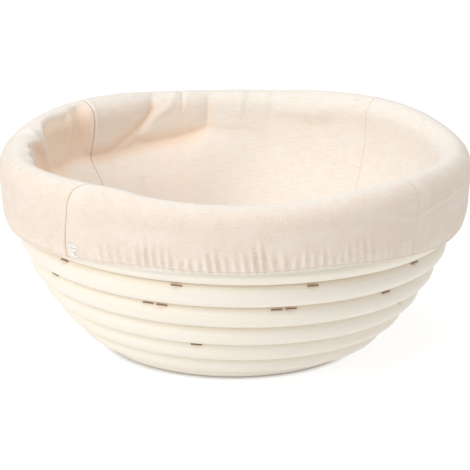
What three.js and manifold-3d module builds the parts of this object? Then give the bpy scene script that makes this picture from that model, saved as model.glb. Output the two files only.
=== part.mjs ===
// Round proofing basket: cane wound into a bowl and stapled turn to turn, with a sewn cloth liner over its rim.
// Millimetres, +Z up. The origin is the middle of the base, on the surface that the basket stands on.
import * as THREE from "three";
import { mergeVertices } from "three/addons/utils/BufferGeometryUtils.js";
import Module from "manifold-3d";

const degrees = THREE.MathUtils.degToRad;

// The cane and the bowl that its centre line follows: a flat base, a tight corner, then a bowed wall
const CANE_DIAMETER = 10.8;
const TURN_GAP = 0.5;
const CENTRE_HOLE_RADIUS = 6;
const BASE_FLAT_RADIUS = 45;
const CORNER_RADIUS = 25;
const CORNER_ANGLE = degrees(43);
const WALL_RADIUS = 103;
const UPRIGHT = degrees(90);
const BASE_SANDING = 0.5;

// The last turn is shaved thinner all the way round, so that the rim is level where the cane ends
const RIM_END_THICKNESS = 2.2;
const RIM_END_WIDTH = 5;
const RIM_END_ANGLE = degrees(355);

// The winding is four lengths of cane, end to end
const RIM_CANE_TURNS = 1.2;
const UPPER_CANE_TURNS = 4;
const LOWER_CANE_TURNS = 3;
const CANE_JOINT_GAP = 0.3;

// Staples: the crown lies along the top of one turn, near its outside, and the legs lean inwards through that
// turn into the one below. Places are counted in turns back from the rim's end.
const STAPLE_CROWN = 4.8;
const STAPLE_LEG = 18;
const STAPLE_WIRE_THICKNESS = 0.9;
const STAPLE_WIRE_WIDTH = 1.1;
const STAPLE_CROWN_OFFSET = 2;
const STAPLE_LEAN = degrees(16);
const STAPLE_SEAT_GAP = 0.4;
const STAPLE_CLEARANCE = 0.3;
const CLOSE_STAPLES_FIRST_TURN = 1.3825;
const CLOSE_STAPLES_LAST_TURN = 5.03;
const CLOSE_STAPLE_SPACING = 0.0975;
const WIDE_STAPLES_FIRST_TURN = 5.13;
const WIDE_STAPLE_SPACING = 0.4;
const DOUBLED_STAPLES = [35, 36];
const STAPLE_PAIR_GAP = 1;

// The liner: four gores, each with a hem casing that holds its share of the elastic
const CLOTH_THICKNESS = 0.8;
const SEAT_GAP = 0.3;
const SEAM_GAP = 0.3;
const SEAM_ANGLE = degrees(47);
const GORE_NAMES = ["back", "left", "front", "right"];
const GORE_TIP_RADIUS = 2.5;
const SKIRT_DEPTH = 28.5;
const ELASTIC_WIDTH = 6;
const ELASTIC_THICKNESS = 0.7;

// Slack cloth stands off the wall at the left and the back, and creases below the rim
const SLACK_DEPTH = 8;
const SLACK_ANGLE = degrees(155);
const SLACK_SPREAD = degrees(75);

// Facets
const CANE_SIDES = 6;
const TURN_STEPS = 24;
const GORE_STEPS = 10;
const FLOOR_STEPS = 2;
const CORNER_STEPS = 3;
const WALL_STEPS = 7;
const ROLL_STEPS = 6;

const CANE_RADIUS = CANE_DIAMETER / 2;
const CANE_FLAT = CANE_RADIUS * Math.cos(Math.PI / CANE_SIDES);
const TURN_PITCH = CANE_DIAMETER + TURN_GAP;
const BASE_HEIGHT = CANE_FLAT - BASE_SANDING;

// Arc lengths along the bowl's centre line, from its axis
const CORNER_ARC = BASE_FLAT_RADIUS;
const WALL_ARC = CORNER_ARC + CORNER_RADIUS * CORNER_ANGLE;
const RIM_ARC = WALL_ARC + WALL_RADIUS * (UPRIGHT - CORNER_ANGLE);

const materials = {
  cane: { color: 0xf3e8d3, roughness: 0.62, metalness: 0 },
  staple: { color: 0x5a3f2a, roughness: 0.55, metalness: 0.5 },
  cloth: { color: 0xeedccb, roughness: 0.95, metalness: 0 },
  elastic: { color: 0xf4f1ea, roughness: 0.8, metalness: 0 },
};

const basket = new THREE.Group();
const wasm = await Module();
wasm.setup();

function addPiece(name, geometry, finish) {
  const mesh = new THREE.Mesh(geometry, new THREE.MeshStandardMaterial(materials[finish]));
  mesh.name = name;
  basket.add(mesh);
}

// A point of the bowl's centre line in the plane of radius and height, and the wall's slope there.
function bowlPoint(arc) {
  if (arc <= CORNER_ARC) {
    return { radius: arc, height: BASE_HEIGHT, slope: 0 };
  }
  const inCorner = Math.min((arc - CORNER_ARC) / CORNER_RADIUS, CORNER_ANGLE);
  const slope = inCorner + Math.max(arc - WALL_ARC, 0) / WALL_RADIUS;
  const cornerRise = CORNER_RADIUS * (1 - Math.cos(inCorner));
  const wallReach = WALL_RADIUS * (Math.sin(slope) - Math.sin(inCorner));
  const wallRise = WALL_RADIUS * (Math.cos(inCorner) - Math.cos(slope));
  return {
    radius: BASE_FLAT_RADIUS + CORNER_RADIUS * Math.sin(inCorner) + wallReach,
    height: BASE_HEIGHT + cornerRise + wallRise,
    slope,
  };
}

// The same point moved square to the wall: outwards if the distance is positive, into the bowl if negative.
function bowlOffset(arc, distance) {
  const { radius, height, slope } = bowlPoint(arc);
  return new THREE.Vector2(radius + distance * Math.sin(slope), height - distance * Math.cos(slope));
}

function atAngle(angle, radius, height) {
  return new THREE.Vector3(radius * Math.cos(angle), radius * Math.sin(angle), height);
}

// A solid through a row of like rings, closed at both ends by the given triangles of one ring.
function loft(rings, endTriangles) {
  const sides = rings[0].length;
  const last = (rings.length - 1) * sides;
  const triangles = [];
  for (let row = 0; row < last; row += sides) {
    for (let side = 0; side < sides; side++) {
      const next = (side + 1) % sides;
      const [a, b, c, d] = [row + side, row + next, row + sides + side, row + sides + next];
      triangles.push([a, b, d], [a, d, c]);
    }
  }
  for (const [a, b, c] of endTriangles) {
    triangles.push([a, c, b], [last + a, last + b, last + c]);
  }
  const points = rings.flat();
  const volume = triangles.reduce((sum, t) => {
    const [a, b, c] = t.map((index) => points[index]);
    return sum + a.dot(b.clone().cross(c));
  }, 0);
  const outward = triangles.map(([a, b, c]) => (volume > 0 ? [a, b, c] : [a, c, b]));
  return new THREE.BufferGeometry().setFromPoints(points).setIndex(outward.flat());
}

function toSolid(geometry) {
  const bare = geometry.clone();
  bare.deleteAttribute("normal");
  bare.deleteAttribute("uv");
  const merged = mergeVertices(bare);
  const vertProperties = merged.attributes.position.array;
  const triVerts = new Uint32Array(merged.index.array);
  return new wasm.Manifold(new wasm.Mesh({ numProp: 3, vertProperties, triVerts }));
}

function toGeometry(solid) {
  const { vertProperties, triVerts } = solid.getMesh();
  return new THREE.BufferGeometry()
    .setAttribute("position", new THREE.BufferAttribute(vertProperties, 3))
    .setIndex(new THREE.BufferAttribute(triVerts, 1));
}

// The winding is counted in steps back from its end at the rim, and falls anticlockwise seen from above.
const TURN_BELOW_END_ARC = RIM_ARC - RIM_END_THICKNESS - TURN_GAP - CANE_RADIUS;
const FULL_TURNS = (TURN_BELOW_END_ARC - CENTRE_HOLE_RADIUS - CANE_RADIUS) / TURN_PITCH;
const WINDING_STEPS = Math.floor((FULL_TURNS + 1) * TURN_STEPS);

// The cane's section at a whole step, in the upright plane through the basket's axis.
function caneSection(step) {
  const turnsBack = step / TURN_STEPS;
  const shaved = Math.max(1 - turnsBack, 0);
  const thickness = THREE.MathUtils.lerp(CANE_DIAMETER, RIM_END_THICKNESS, shaved);
  const width = THREE.MathUtils.lerp(CANE_DIAMETER, RIM_END_WIDTH, shaved);
  const turnBelowArc = TURN_BELOW_END_ARC - turnsBack * TURN_PITCH;
  const arc = turnBelowArc + CANE_RADIUS + TURN_GAP + thickness / 2;
  const angle = RIM_END_ANGLE + turnsBack * 2 * Math.PI;
  const { radius, height, slope } = bowlPoint(arc);
  const upTheWall = atAngle(angle, Math.cos(slope), Math.sin(slope));
  const outOfWall = atAngle(angle, Math.sin(slope), -Math.cos(slope));
  const centre = atAngle(angle, radius, height);
  const ring = [];
  for (let side = 0; side < CANE_SIDES; side++) {
    const turn = (side / CANE_SIDES) * 2 * Math.PI;
    const point = centre.clone();
    point.addScaledVector(upTheWall, (thickness / 2) * Math.cos(turn));
    point.addScaledVector(outOfWall, (width / 2) * Math.sin(turn));
    ring.push(point);
  }
  return { arc, centre, upTheWall, outOfWall, ring };
}

const sections = [];
for (let step = 0; step <= WINDING_STEPS; step++) {
  sections.push(caneSection(step));
}

// Between two whole steps the cane is straight.
function ringBetween(step) {
  const [from, to] = [sections[Math.floor(step)], sections[Math.ceil(step)]];
  return from.ring.map((point, side) => point.clone().lerp(to.ring[side], step % 1));
}

function chordLength(step) {
  return sections[step].centre.distanceTo(sections[step + 1].centre);
}

// A length of cane that starts and ends halfway along a step, or at an end of the winding.
function caneLength(firstStep, lastStep) {
  const rings = [];
  if (firstStep > 0) {
    rings.push(ringBetween(firstStep - 0.5 + CANE_JOINT_GAP / 2 / chordLength(firstStep - 1)));
  }
  for (let step = firstStep; step <= lastStep; step++) {
    rings.push(sections[step].ring);
  }
  if (lastStep < WINDING_STEPS) {
    rings.push(ringBetween(lastStep + 0.5 - CANE_JOINT_GAP / 2 / chordLength(lastStep)));
  }
  const fan = [];
  for (let side = 1; side < CANE_SIDES - 1; side++) {
    fan.push([0, side, side + 1]);
  }
  return loft(rings, fan);
}

// The least distance between the surfaces of one turn and the next, on the corners and halfway between them.
function leastTurnGap() {
  let least = Infinity;
  for (let step = 0; step + TURN_STEPS + 1 <= WINDING_STEPS; step += 0.5) {
    for (const upper of ringBetween(step)) {
      for (const lower of ringBetween(step + TURN_STEPS)) {
        least = Math.min(least, upper.distanceTo(lower));
      }
    }
  }
  return least;
}

console.log("least gap between turns of cane: " + leastTurnGap().toFixed(2) + " mm");

// A staple's outline, or with a clearance the hole that it goes into, with its crown above the turn's own edge.
const STAPLE_INNER_FACE = STAPLE_CROWN_OFFSET - STAPLE_WIRE_WIDTH / 2;
const STAPLE_SEAT = CANE_RADIUS - STAPLE_INNER_FACE * Math.tan(Math.PI / CANE_SIDES) + STAPLE_SEAT_GAP;

function stapleGeometry(clearance) {
  const side = STAPLE_CROWN / 2;
  const inside = side - STAPLE_WIRE_THICKNESS - clearance;
  const top = STAPLE_WIRE_THICKNESS;
  const tip = top - STAPLE_LEG - clearance;
  const outline = new THREE.Shape();
  outline.moveTo(-side - clearance, tip);
  outline.lineTo(-inside, tip);
  outline.lineTo(-inside, -clearance);
  outline.lineTo(inside, -clearance);
  outline.lineTo(inside, tip);
  outline.lineTo(side + clearance, tip);
  outline.lineTo(side + clearance, top + clearance);
  outline.lineTo(-side - clearance, top + clearance);
  const depth = STAPLE_WIRE_WIDTH + 2 * clearance;
  const geometry = new THREE.ExtrudeGeometry(outline, { depth, bevelEnabled: false });
  geometry.translate(0, 0, -depth / 2).rotateX(STAPLE_LEAN);
  return geometry.translate(0, STAPLE_SEAT, STAPLE_CROWN_OFFSET);
}

// Where a staple stands: along the cane, up the wall and out of it, at a number of turns back from the end.
function staplePlace(turnsBack) {
  const step = turnsBack * TURN_STEPS;
  const [from, to] = [sections[Math.floor(step)], sections[Math.floor(step) + 1]];
  const along = to.centre.clone().sub(from.centre).normalize();
  const outOfWall = from.outOfWall.clone().lerp(to.outOfWall, step % 1);
  const upTheWall = outOfWall.clone().cross(along).normalize();
  const square = along.clone().cross(upTheWall);
  const centre = from.centre.clone().lerp(to.centre, step % 1);
  return new THREE.Matrix4().makeBasis(along, upTheWall, square).setPosition(centre);
}

const stapleTurns = [];
for (let turn = CLOSE_STAPLES_FIRST_TURN; turn < CLOSE_STAPLES_LAST_TURN; turn += CLOSE_STAPLE_SPACING) {
  stapleTurns.push(turn);
}
// The wide ones stop where the turn below is no longer on the bowed wall, but on the corner.
const WIDE_STAPLES_LAST_TURN = (TURN_BELOW_END_ARC - WALL_ARC) / TURN_PITCH;
for (let turn = WIDE_STAPLES_FIRST_TURN; turn < WIDE_STAPLES_LAST_TURN; turn += WIDE_STAPLE_SPACING) {
  stapleTurns.push(turn);
}
const staplePlaces = stapleTurns.map(staplePlace);

// Some of the close ones have a second staple beside them, along the cane.
const besideStaple = new THREE.Matrix4().makeTranslation(STAPLE_CROWN + STAPLE_PAIR_GAP, 0, 0);
for (const place of staplePlaces.filter((_, index) => DOUBLED_STAPLES.includes(index + 1))) {
  staplePlaces.push(place.clone().multiply(besideStaple));
}

const stapleHoles = staplePlaces.map((place) => toSolid(stapleGeometry(STAPLE_CLEARANCE).applyMatrix4(place)));

// The base is sanded flat where it stands.
const reach = 3 * (BASE_FLAT_RADIUS + CORNER_RADIUS + WALL_RADIUS);
const belowBase = toSolid(new THREE.BoxGeometry(reach, reach, reach).translate(0, 0, -reach / 2));

const rimSteps = Math.round(RIM_CANE_TURNS * TURN_STEPS);
const upperSteps = rimSteps + UPPER_CANE_TURNS * TURN_STEPS;
const lowerSteps = upperSteps + LOWER_CANE_TURNS * TURN_STEPS;
const caneLengths = [
  ["rim_cane", 0, rimSteps],
  ["upper_wall_cane", rimSteps + 1, upperSteps],
  ["lower_wall_cane", upperSteps + 1, lowerSteps],
  ["base_cane", lowerSteps + 1, WINDING_STEPS],
];
for (const [name, firstStep, lastStep] of caneLengths) {
  const drilled = stapleHoles.reduce(
    (cane, hole) => cane.subtract(hole),
    toSolid(caneLength(firstStep, lastStep)),
  );
  addPiece(name, toGeometry(drilled.subtract(belowBase)), "cane");
}

staplePlaces.forEach((place, index) => {
  const name = "staple_" + String(index + 1).padStart(2, "0");
  addPiece(name, stapleGeometry(0).applyMatrix4(place), "staple");
});

// The liner's seat is its face towards the cane, clear of the straight steps that the cane is made of.
const rim = bowlPoint(RIM_ARC);
const STEP_SAG = rim.radius * (1 - Math.cos(Math.PI / TURN_STEPS));
const GORE_SAG = rim.radius * (1 - Math.cos(Math.PI / (GORE_NAMES.length * GORE_STEPS)));
const LINER_OFFSET = CANE_FLAT + STEP_SAG + SEAT_GAP;
const ROLL_HEIGHT = rim.height + SEAT_GAP - LINER_OFFSET;

// The hem lies along the wall: its inner bottom edge, and the directions up the wall and out of it.
function hemArc() {
  const hemHeight = rim.height - SKIRT_DEPTH;
  let [low, high] = [WALL_ARC, RIM_ARC];
  while (high - low > CLOTH_THICKNESS / 1000) {
    const middle = (low + high) / 2;
    if (bowlOffset(middle, CANE_FLAT).y < hemHeight) {
      low = middle;
    } else {
      high = middle;
    }
  }
  return low;
}

const hem = bowlPoint(hemArc());
const hemEdge = bowlOffset(hemArc(), CANE_FLAT + GORE_SAG + SEAT_GAP);
const hemUp = new THREE.Vector2(Math.cos(hem.slope), Math.sin(hem.slope));
const hemOut = new THREE.Vector2(Math.sin(hem.slope), -Math.cos(hem.slope));
const CASING_POCKET = ELASTIC_WIDTH + 2 * SEAT_GAP;
const CASING_HEIGHT = CASING_POCKET + 2 * CLOTH_THICKNESS;
const CASING_DEPTH = ELASTIC_THICKNESS + 2 * (SEAT_GAP + CLOTH_THICKNESS);

function atHem(up, out) {
  return hemEdge.clone().addScaledVector(hemUp, up).addScaledVector(hemOut, out);
}

// One gore's seat from the middle of the floor, up the wall, round the rim and down the skirt.
// Each point has the direction in which the cloth is thick, and how far slack cloth may lift it there.
function goreSeat() {
  const seat = [];
  const add = (point, away, slack) => seat.push({ point, away, slack });
  for (let step = 0; step < FLOOR_STEPS; step++) {
    const arc = THREE.MathUtils.lerp(GORE_TIP_RADIUS, CORNER_ARC, step / FLOOR_STEPS);
    add(bowlOffset(arc, -LINER_OFFSET), new THREE.Vector2(0, 1), 0);
  }
  const topArc = RIM_ARC - LINER_OFFSET;
  const wallSteps = CORNER_STEPS + WALL_STEPS;
  for (let step = 0; step < wallSteps; step++) {
    const arc =
      step < CORNER_STEPS
        ? THREE.MathUtils.lerp(CORNER_ARC, WALL_ARC, step / CORNER_STEPS)
        : THREE.MathUtils.lerp(WALL_ARC, topArc, (step - CORNER_STEPS) / WALL_STEPS);
    const { slope } = bowlPoint(arc);
    const away = new THREE.Vector2(-Math.sin(slope), Math.cos(slope));
    add(bowlOffset(arc, -LINER_OFFSET), away, Math.sin((step / wallSteps) * Math.PI) ** 2);
  }
  for (let step = 0; step <= ROLL_STEPS; step++) {
    const turn = Math.PI * (1 - step / ROLL_STEPS);
    const away = new THREE.Vector2(Math.cos(turn), Math.sin(turn));
    const middle = new THREE.Vector2(rim.radius, ROLL_HEIGHT);
    add(middle.addScaledVector(away, LINER_OFFSET), away, 0);
  }
  // The skirt ends above its casing, as far out as it has to be to lift past the widest turn.
  const skirtEndRadius = rim.radius + CANE_FLAT + GORE_SAG + SEAT_GAP;
  const skirtEndHeight = atHem(CASING_HEIGHT + SEAT_GAP, CASING_DEPTH).y + SEAT_GAP;
  add(new THREE.Vector2(skirtEndRadius, skirtEndHeight), new THREE.Vector2(1, 0), 0);
  return seat;
}

function slackAt(angle) {
  const apart = THREE.MathUtils.euclideanModulo(angle - SLACK_ANGLE + Math.PI, 2 * Math.PI) - Math.PI;
  const share = Math.min(Math.abs(apart) / SLACK_SPREAD, 1);
  return SLACK_DEPTH * Math.cos((share * Math.PI) / 2) ** 2;
}

// A quarter of the liner: its closed outline at each angle between two seams, each side half a seam gap short.
function quarter(index, outlineAt) {
  const rings = [];
  for (let step = 0; step <= GORE_STEPS; step++) {
    const share = step / GORE_STEPS;
    const middle = SEAM_ANGLE + (index + share) * UPRIGHT;
    const ring = outlineAt(middle).map(({ x: radius, y: height }) => {
      const short = Math.asin(SEAM_GAP / 2 / radius);
      return atAngle(middle + short * (1 - 2 * share), radius, height);
    });
    rings.push(ring);
  }
  return loft(rings, THREE.ShapeUtils.triangulateShape(outlineAt(SEAM_ANGLE + index * UPRIGHT), []));
}

const seat = goreSeat();

function goreOutline(angle) {
  const lift = slackAt(angle);
  const inner = seat.map(({ point, away, slack }) => point.clone().addScaledVector(away, lift * slack));
  const outer = seat.map(({ away }, place) => inner[place].clone().addScaledVector(away, CLOTH_THICKNESS));
  return inner.concat(outer.reverse());
}

// The casing is the hem turned up inside, and left open by a slit at its stitched top edge.
const casingLip = CASING_DEPTH - CLOTH_THICKNESS - SEAT_GAP;
const casingOutline = [
  atHem(0, 0),
  atHem(0, CASING_DEPTH),
  atHem(CASING_HEIGHT, CASING_DEPTH),
  atHem(CASING_HEIGHT, CASING_DEPTH - CLOTH_THICKNESS),
  atHem(CLOTH_THICKNESS, CASING_DEPTH - CLOTH_THICKNESS),
  atHem(CLOTH_THICKNESS, CLOTH_THICKNESS),
  atHem(CASING_HEIGHT - CLOTH_THICKNESS, CLOTH_THICKNESS),
  atHem(CASING_HEIGHT - CLOTH_THICKNESS, casingLip),
  atHem(CASING_HEIGHT, casingLip),
  atHem(CASING_HEIGHT, 0),
];

GORE_NAMES.forEach((side, index) => {
  addPiece("liner_gore_" + side, quarter(index, goreOutline), "cloth");
  addPiece("hem_casing_" + side, quarter(index, () => casingOutline), "cloth");
});

// One band of elastic runs round inside the four casings.
function elasticBand() {
  const pocket = CLOTH_THICKNESS + SEAT_GAP;
  const outline = [
    atHem(pocket, pocket),
    atHem(pocket, pocket + ELASTIC_THICKNESS),
    atHem(pocket + ELASTIC_WIDTH, pocket + ELASTIC_THICKNESS),
    atHem(pocket + ELASTIC_WIDTH, pocket),
    atHem(pocket, pocket),
  ];
  const steps = GORE_NAMES.length * GORE_STEPS;
  return new THREE.LatheGeometry(outline, steps, SEAM_ANGLE + UPRIGHT).rotateX(UPRIGHT);
}

addPiece("hem_elastic", elasticBand(), "elastic");

export default basket;
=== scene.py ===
import math

import bpy
import numpy as np
from mathutils import Matrix, Vector


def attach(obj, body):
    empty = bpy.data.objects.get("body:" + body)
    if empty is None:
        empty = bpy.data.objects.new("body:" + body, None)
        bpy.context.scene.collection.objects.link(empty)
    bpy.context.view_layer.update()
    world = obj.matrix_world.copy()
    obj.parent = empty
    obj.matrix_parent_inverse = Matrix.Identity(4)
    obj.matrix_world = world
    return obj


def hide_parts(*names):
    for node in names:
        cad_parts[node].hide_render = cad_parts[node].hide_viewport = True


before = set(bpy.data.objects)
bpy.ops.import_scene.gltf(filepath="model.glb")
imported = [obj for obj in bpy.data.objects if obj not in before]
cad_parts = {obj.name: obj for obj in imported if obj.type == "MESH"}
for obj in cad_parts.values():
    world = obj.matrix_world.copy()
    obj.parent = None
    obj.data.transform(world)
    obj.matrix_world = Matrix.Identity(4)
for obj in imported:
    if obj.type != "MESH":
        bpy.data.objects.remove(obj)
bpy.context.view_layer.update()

# A round proofing basket: cane wound into a bowl and stapled turn to turn, with a sewn cotton liner.
# Metres, +Z up. A bearing is an angle in degrees round the upright axis, from +X towards +Y.

# The wound cane
# One peeled cane in four lengths, end to end, coiled from the middle of the base up to the rim. It is
# pale, sanded flat where it stands, and shaved thinner along the last turn so that the rim is level.
CANE_RADIUS = 0.0056
TURN_PITCH = 0.0113
TURN_GAP = 0.0005
BASE_FLAT_RADIUS = 0.045
BASE_HEIGHT = 0.0044
CORNER_RADIUS = 0.025
CORNER_ANGLE = math.radians(43)
WALL_RADIUS = 0.103
WALL_ARC = BASE_FLAT_RADIUS + CORNER_RADIUS * CORNER_ANGLE
RIM_ARC = WALL_ARC + WALL_RADIUS * (math.pi / 2 - CORNER_ANGLE)
RIM_END_THICKNESS = 0.0022
RIM_END_WIDTH = 0.005
RIM_END_BEARING = 355
TURN_BELOW_END_ARC = RIM_ARC - RIM_END_THICKNESS - (TURN_PITCH + TURN_GAP) / 2
UP = np.array([0.0, 0.0, 1.0])
# Each length of cane by its node, from and to a number of turns back from the rim's end.
CANE_LENGTHS = [
    ("rim_cane", 0, 1.229),
    ("upper_wall_cane", 1.229, 5.229),
    ("lower_wall_cane", 5.229, 8.229),
    ("base_cane", 8.229, 12.375),
]
CANE_STEPS_A_TURN = 144
CANE_SIDES = 24
# At the ends: how far the rounding reaches, where its rings are along that, and how much it narrows.
CANE_END_ROUNDING = 0.0012
CANE_END_RINGS = np.array([0.15, 0.5])
CANE_END_NARROWING = 0.2
# Swellings as a cane grows: shares of its size, radians a metre, and a phase for each length.
GROWTH_WAVES = [(0.010, 31, 1), (0.007, 83, 2)]
LARGEST_GROWTH = 1.006

# The staples' places, in turns back from the rim's end: close together up the wall, and far apart
# lower down. Two of them have a second staple beside them. Each one rusts the cane around it.
CLOSE_STAPLES = np.arange(1.3825, 5.03, 0.0975)
WIDE_STAPLES = np.arange(5.13, 6.76, 0.4)
DOUBLED_STAPLES = [34, 35]
STAPLE_PAIR_SPACING = 0.0058
STAPLE_HEIGHT = 0.0053
STAPLE_OUT = 0.0027
STAIN_REACH = 0.0028

CANE_CREAM = (246, 239, 227)
CANE_STREAK = (240, 229, 207)
# Painted shade for the grooves between turns of cane.
CANE_GROOVE_SHADE = (240, 226, 200)
RUST_STAIN = (214, 150, 92)
# How strongly each mark shows, at most. The groove and underside tints are painted shade where turns meet.
FIBRE_TINT = 0.5
STREAK_TINT = 0.4
GROOVE_SHADE_TINT = 0.1
GROOVE_SHADE_PATCH_TINT = 0.3
UNDERSIDE_SHADE_TINT = 0.4
STAIN_TINT = 0.24
# Marks along and across the cane, in features a metre.
FIBRE_MARKS = (22, 2300, 1)
STREAK_MARKS = (9, 420, 1)
PATCH_MARKS = (30, 90, 1)
FIBRE_DEPTH = 0.00012


def bowl_curve(arc):
    """The radius, height and slope of the bowl's centre line, at an arc length from the axis."""
    in_corner = np.clip((arc - BASE_FLAT_RADIUS) / CORNER_RADIUS, 0, CORNER_ANGLE)
    slope = in_corner + np.maximum(arc - WALL_ARC, 0) / WALL_RADIUS
    radius = np.minimum(arc, BASE_FLAT_RADIUS) + CORNER_RADIUS * np.sin(in_corner)
    radius = radius + WALL_RADIUS * (np.sin(slope) - np.sin(in_corner))
    height = BASE_HEIGHT + CORNER_RADIUS * (1 - np.cos(in_corner))
    height = height + WALL_RADIUS * (np.cos(in_corner) - np.cos(slope))
    return radius, height, slope


def outwards(bearing):
    """Unit vectors away from the basket's axis."""
    angle = np.radians(bearing)
    return np.stack([np.cos(angle), np.sin(angle), np.zeros_like(angle)], -1)


def winding(turns_back):
    """The cane's centre, the directions up the wall and out of it, and half its thickness and width."""
    shaved = np.clip(1 - turns_back, 0, 1)
    thick = CANE_RADIUS + (RIM_END_THICKNESS / 2 - CANE_RADIUS) * shaved
    wide = CANE_RADIUS + (RIM_END_WIDTH / 2 - CANE_RADIUS) * shaved
    arc = TURN_BELOW_END_ARC - turns_back * TURN_PITCH + TURN_PITCH - CANE_RADIUS + thick
    radius, height, slope = (part[:, None] for part in bowl_curve(arc))
    away = outwards(RIM_END_BEARING + 360 * turns_back)
    up = away * np.cos(slope) + UP * np.sin(slope)
    out = away * np.sin(slope) - UP * np.cos(slope)
    return away * radius + UP * height, up, out, thick, wide


def staple_places():
    """Each staple's crown: its middle, and the directions along the cane, up the wall and out of it."""
    turns = np.concatenate([CLOSE_STAPLES, WIDE_STAPLES])
    doubled = turns[DOUBLED_STAPLES]
    around = 2 * np.pi * np.linalg.norm(winding(doubled)[0][:, :2], axis=1)
    turns = np.concatenate([turns, doubled + STAPLE_PAIR_SPACING / around])
    centre, up, out, _, _ = winding(turns)
    along = np.cross(up, out)
    return centre + up * STAPLE_HEIGHT + out * STAPLE_OUT, along, up, out


def running_length(points):
    """How far along a line of points each one is."""
    return np.concatenate([[0], np.cumsum(np.linalg.norm(np.diff(points, axis=0), axis=1))])


def grid_piece(name, points, uv, ring=False):
    """A mesh through rows of points, with a UV map in metres. In a ring a row's last point is its first."""
    rows, columns = uv.shape[:2]
    points = points[:, :-1] if ring else points
    across = points.shape[1]
    row, column = np.meshgrid(np.arange(rows - 1), np.arange(columns - 1), indexing="ij")
    corners = [(row, column), (row, column + 1), (row + 1, column + 1), (row + 1, column)]
    faces = np.stack([r * across + c % across for r, c in corners], -1).reshape(-1, 4)
    face_uv = np.stack([uv[r, c] for r, c in corners], -2).reshape(-1, 2)
    mesh = bpy.data.meshes.new(name)
    mesh.from_pydata(points.reshape(-1, 3).tolist(), [], faces.tolist())
    mesh.uv_layers.new(name="UVMap").data.foreach_set("uv", face_uv.astype(np.float32).ravel())
    mesh.polygons.foreach_set("use_smooth", [True] * len(mesh.polygons))
    piece = bpy.data.objects.new(name, mesh)
    bpy.context.scene.collection.objects.link(piece)
    return piece


def alone(piece, mode="OBJECT"):
    """Leaves only this piece selected, in the given mode."""
    bpy.ops.object.select_all(action="DESELECT")
    piece.select_set(True)
    bpy.context.view_layer.objects.active = piece
    bpy.ops.object.mode_set(mode=mode)


def close_ends(piece):
    """Fills the open ends of a tube."""
    alone(piece, "EDIT")
    bpy.ops.mesh.select_mode(type="EDGE")
    bpy.ops.mesh.select_all(action="DESELECT")
    bpy.ops.mesh.select_non_manifold()
    bpy.ops.mesh.edge_face_add()
    bpy.ops.mesh.select_all(action="SELECT")
    bpy.ops.mesh.normals_make_consistent(inside=False)
    bpy.ops.object.mode_set(mode="OBJECT")


def point_values(piece, name, values):
    """Keeps one number for each point of a piece, for its finish to read."""
    layer = piece.data.attributes.new(name, "FLOAT", "POINT")
    layer.data.foreach_set("value", np.asarray(values, np.float32).ravel())


def make_cane(name, first, last):
    """A length of cane, a little thicker and thinner as it grew, with its edges rounded at the ends."""
    turns = np.linspace(first, last, round((last - first) * CANE_STEPS_A_TURN) + 1)
    turns_a_metre = (turns[1] - turns[0]) / np.diff(running_length(winding(turns)[0]))
    near_first = first + CANE_END_RINGS * CANE_END_ROUNDING * turns_a_metre[0]
    near_last = last - CANE_END_RINGS[::-1] * CANE_END_ROUNDING * turns_a_metre[-1]
    turns = np.concatenate([turns[:1], near_first, turns[1:-1], near_last, turns[-1:]])
    centre, up, out, thick, wide = winding(turns)
    along = running_length(centre)
    from_end = np.minimum(along, along[-1] - along)
    rounding = 1 - CANE_END_NARROWING * np.clip(1 - from_end / CANE_END_ROUNDING, 0, 1) ** 2
    growth = 1 + sum(size * np.sin(along * rate + phase * first) for size, rate, phase in GROWTH_WAVES)
    size = np.minimum(rounding * growth, LARGEST_GROWTH)
    turn = np.linspace(0, 2 * np.pi, CANE_SIDES + 1)[None, :, None]
    points = centre[:, None] + up[:, None] * (thick * size)[:, None, None] * np.cos(turn)
    points = points + out[:, None] * (wide * size)[:, None, None] * np.sin(turn)
    points[..., 2] = np.maximum(points[..., 2], 0)
    uv = np.stack(np.broadcast_arrays(along[:, None], turn[..., 0] * CANE_RADIUS), -1)
    piece = grid_piece("wound_" + name, points, uv, ring=True)
    crowns = staple_places()[0]
    gap = np.linalg.norm(points[:, :-1, None] - crowns, axis=-1).min(-1)
    point_values(piece, "stain", np.exp(-((gap / STAIN_REACH) ** 2)))
    close_ends(piece)
    return piece


def tint(colour):
    """A shader's colour from red, green and blue as a screen shows them, 0 to 255."""
    share = np.array(colour) / 255
    return (*np.where(share > 0.04045, ((share + 0.055) / 1.055) ** 2.4, share / 12.92), 1.0)


class Wire:
    """An output of a node in a finish. Sums of wires and numbers add Math nodes."""

    def __init__(self, finish, socket):
        self.finish = finish
        self.socket = socket

    def maths(self, operation, first, second=0.0):
        return self.finish.node("Math", {0: first, 1: second}, operation=operation)

    def __add__(self, other):
        return self.maths("ADD", self, other)

    def __sub__(self, other):
        return self.maths("SUBTRACT", self, other)

    def __rsub__(self, other):
        return self.maths("SUBTRACT", other, self)

    def __mul__(self, other):
        return self.maths("MULTIPLY", self, other)

    def __truediv__(self, other):
        return self.maths("DIVIDE", self, other)

    __radd__ = __add__
    __rmul__ = __mul__

    def sine(self):
        return self.maths("SINE", self)

    def rise(self, low, high):
        """From 0 at the low value to 1 at the high one, smoothly."""
        return self.finish.node("MapRange", {0: self, 1: low, 2: high}, interpolation_type="SMOOTHSTEP")


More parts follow.
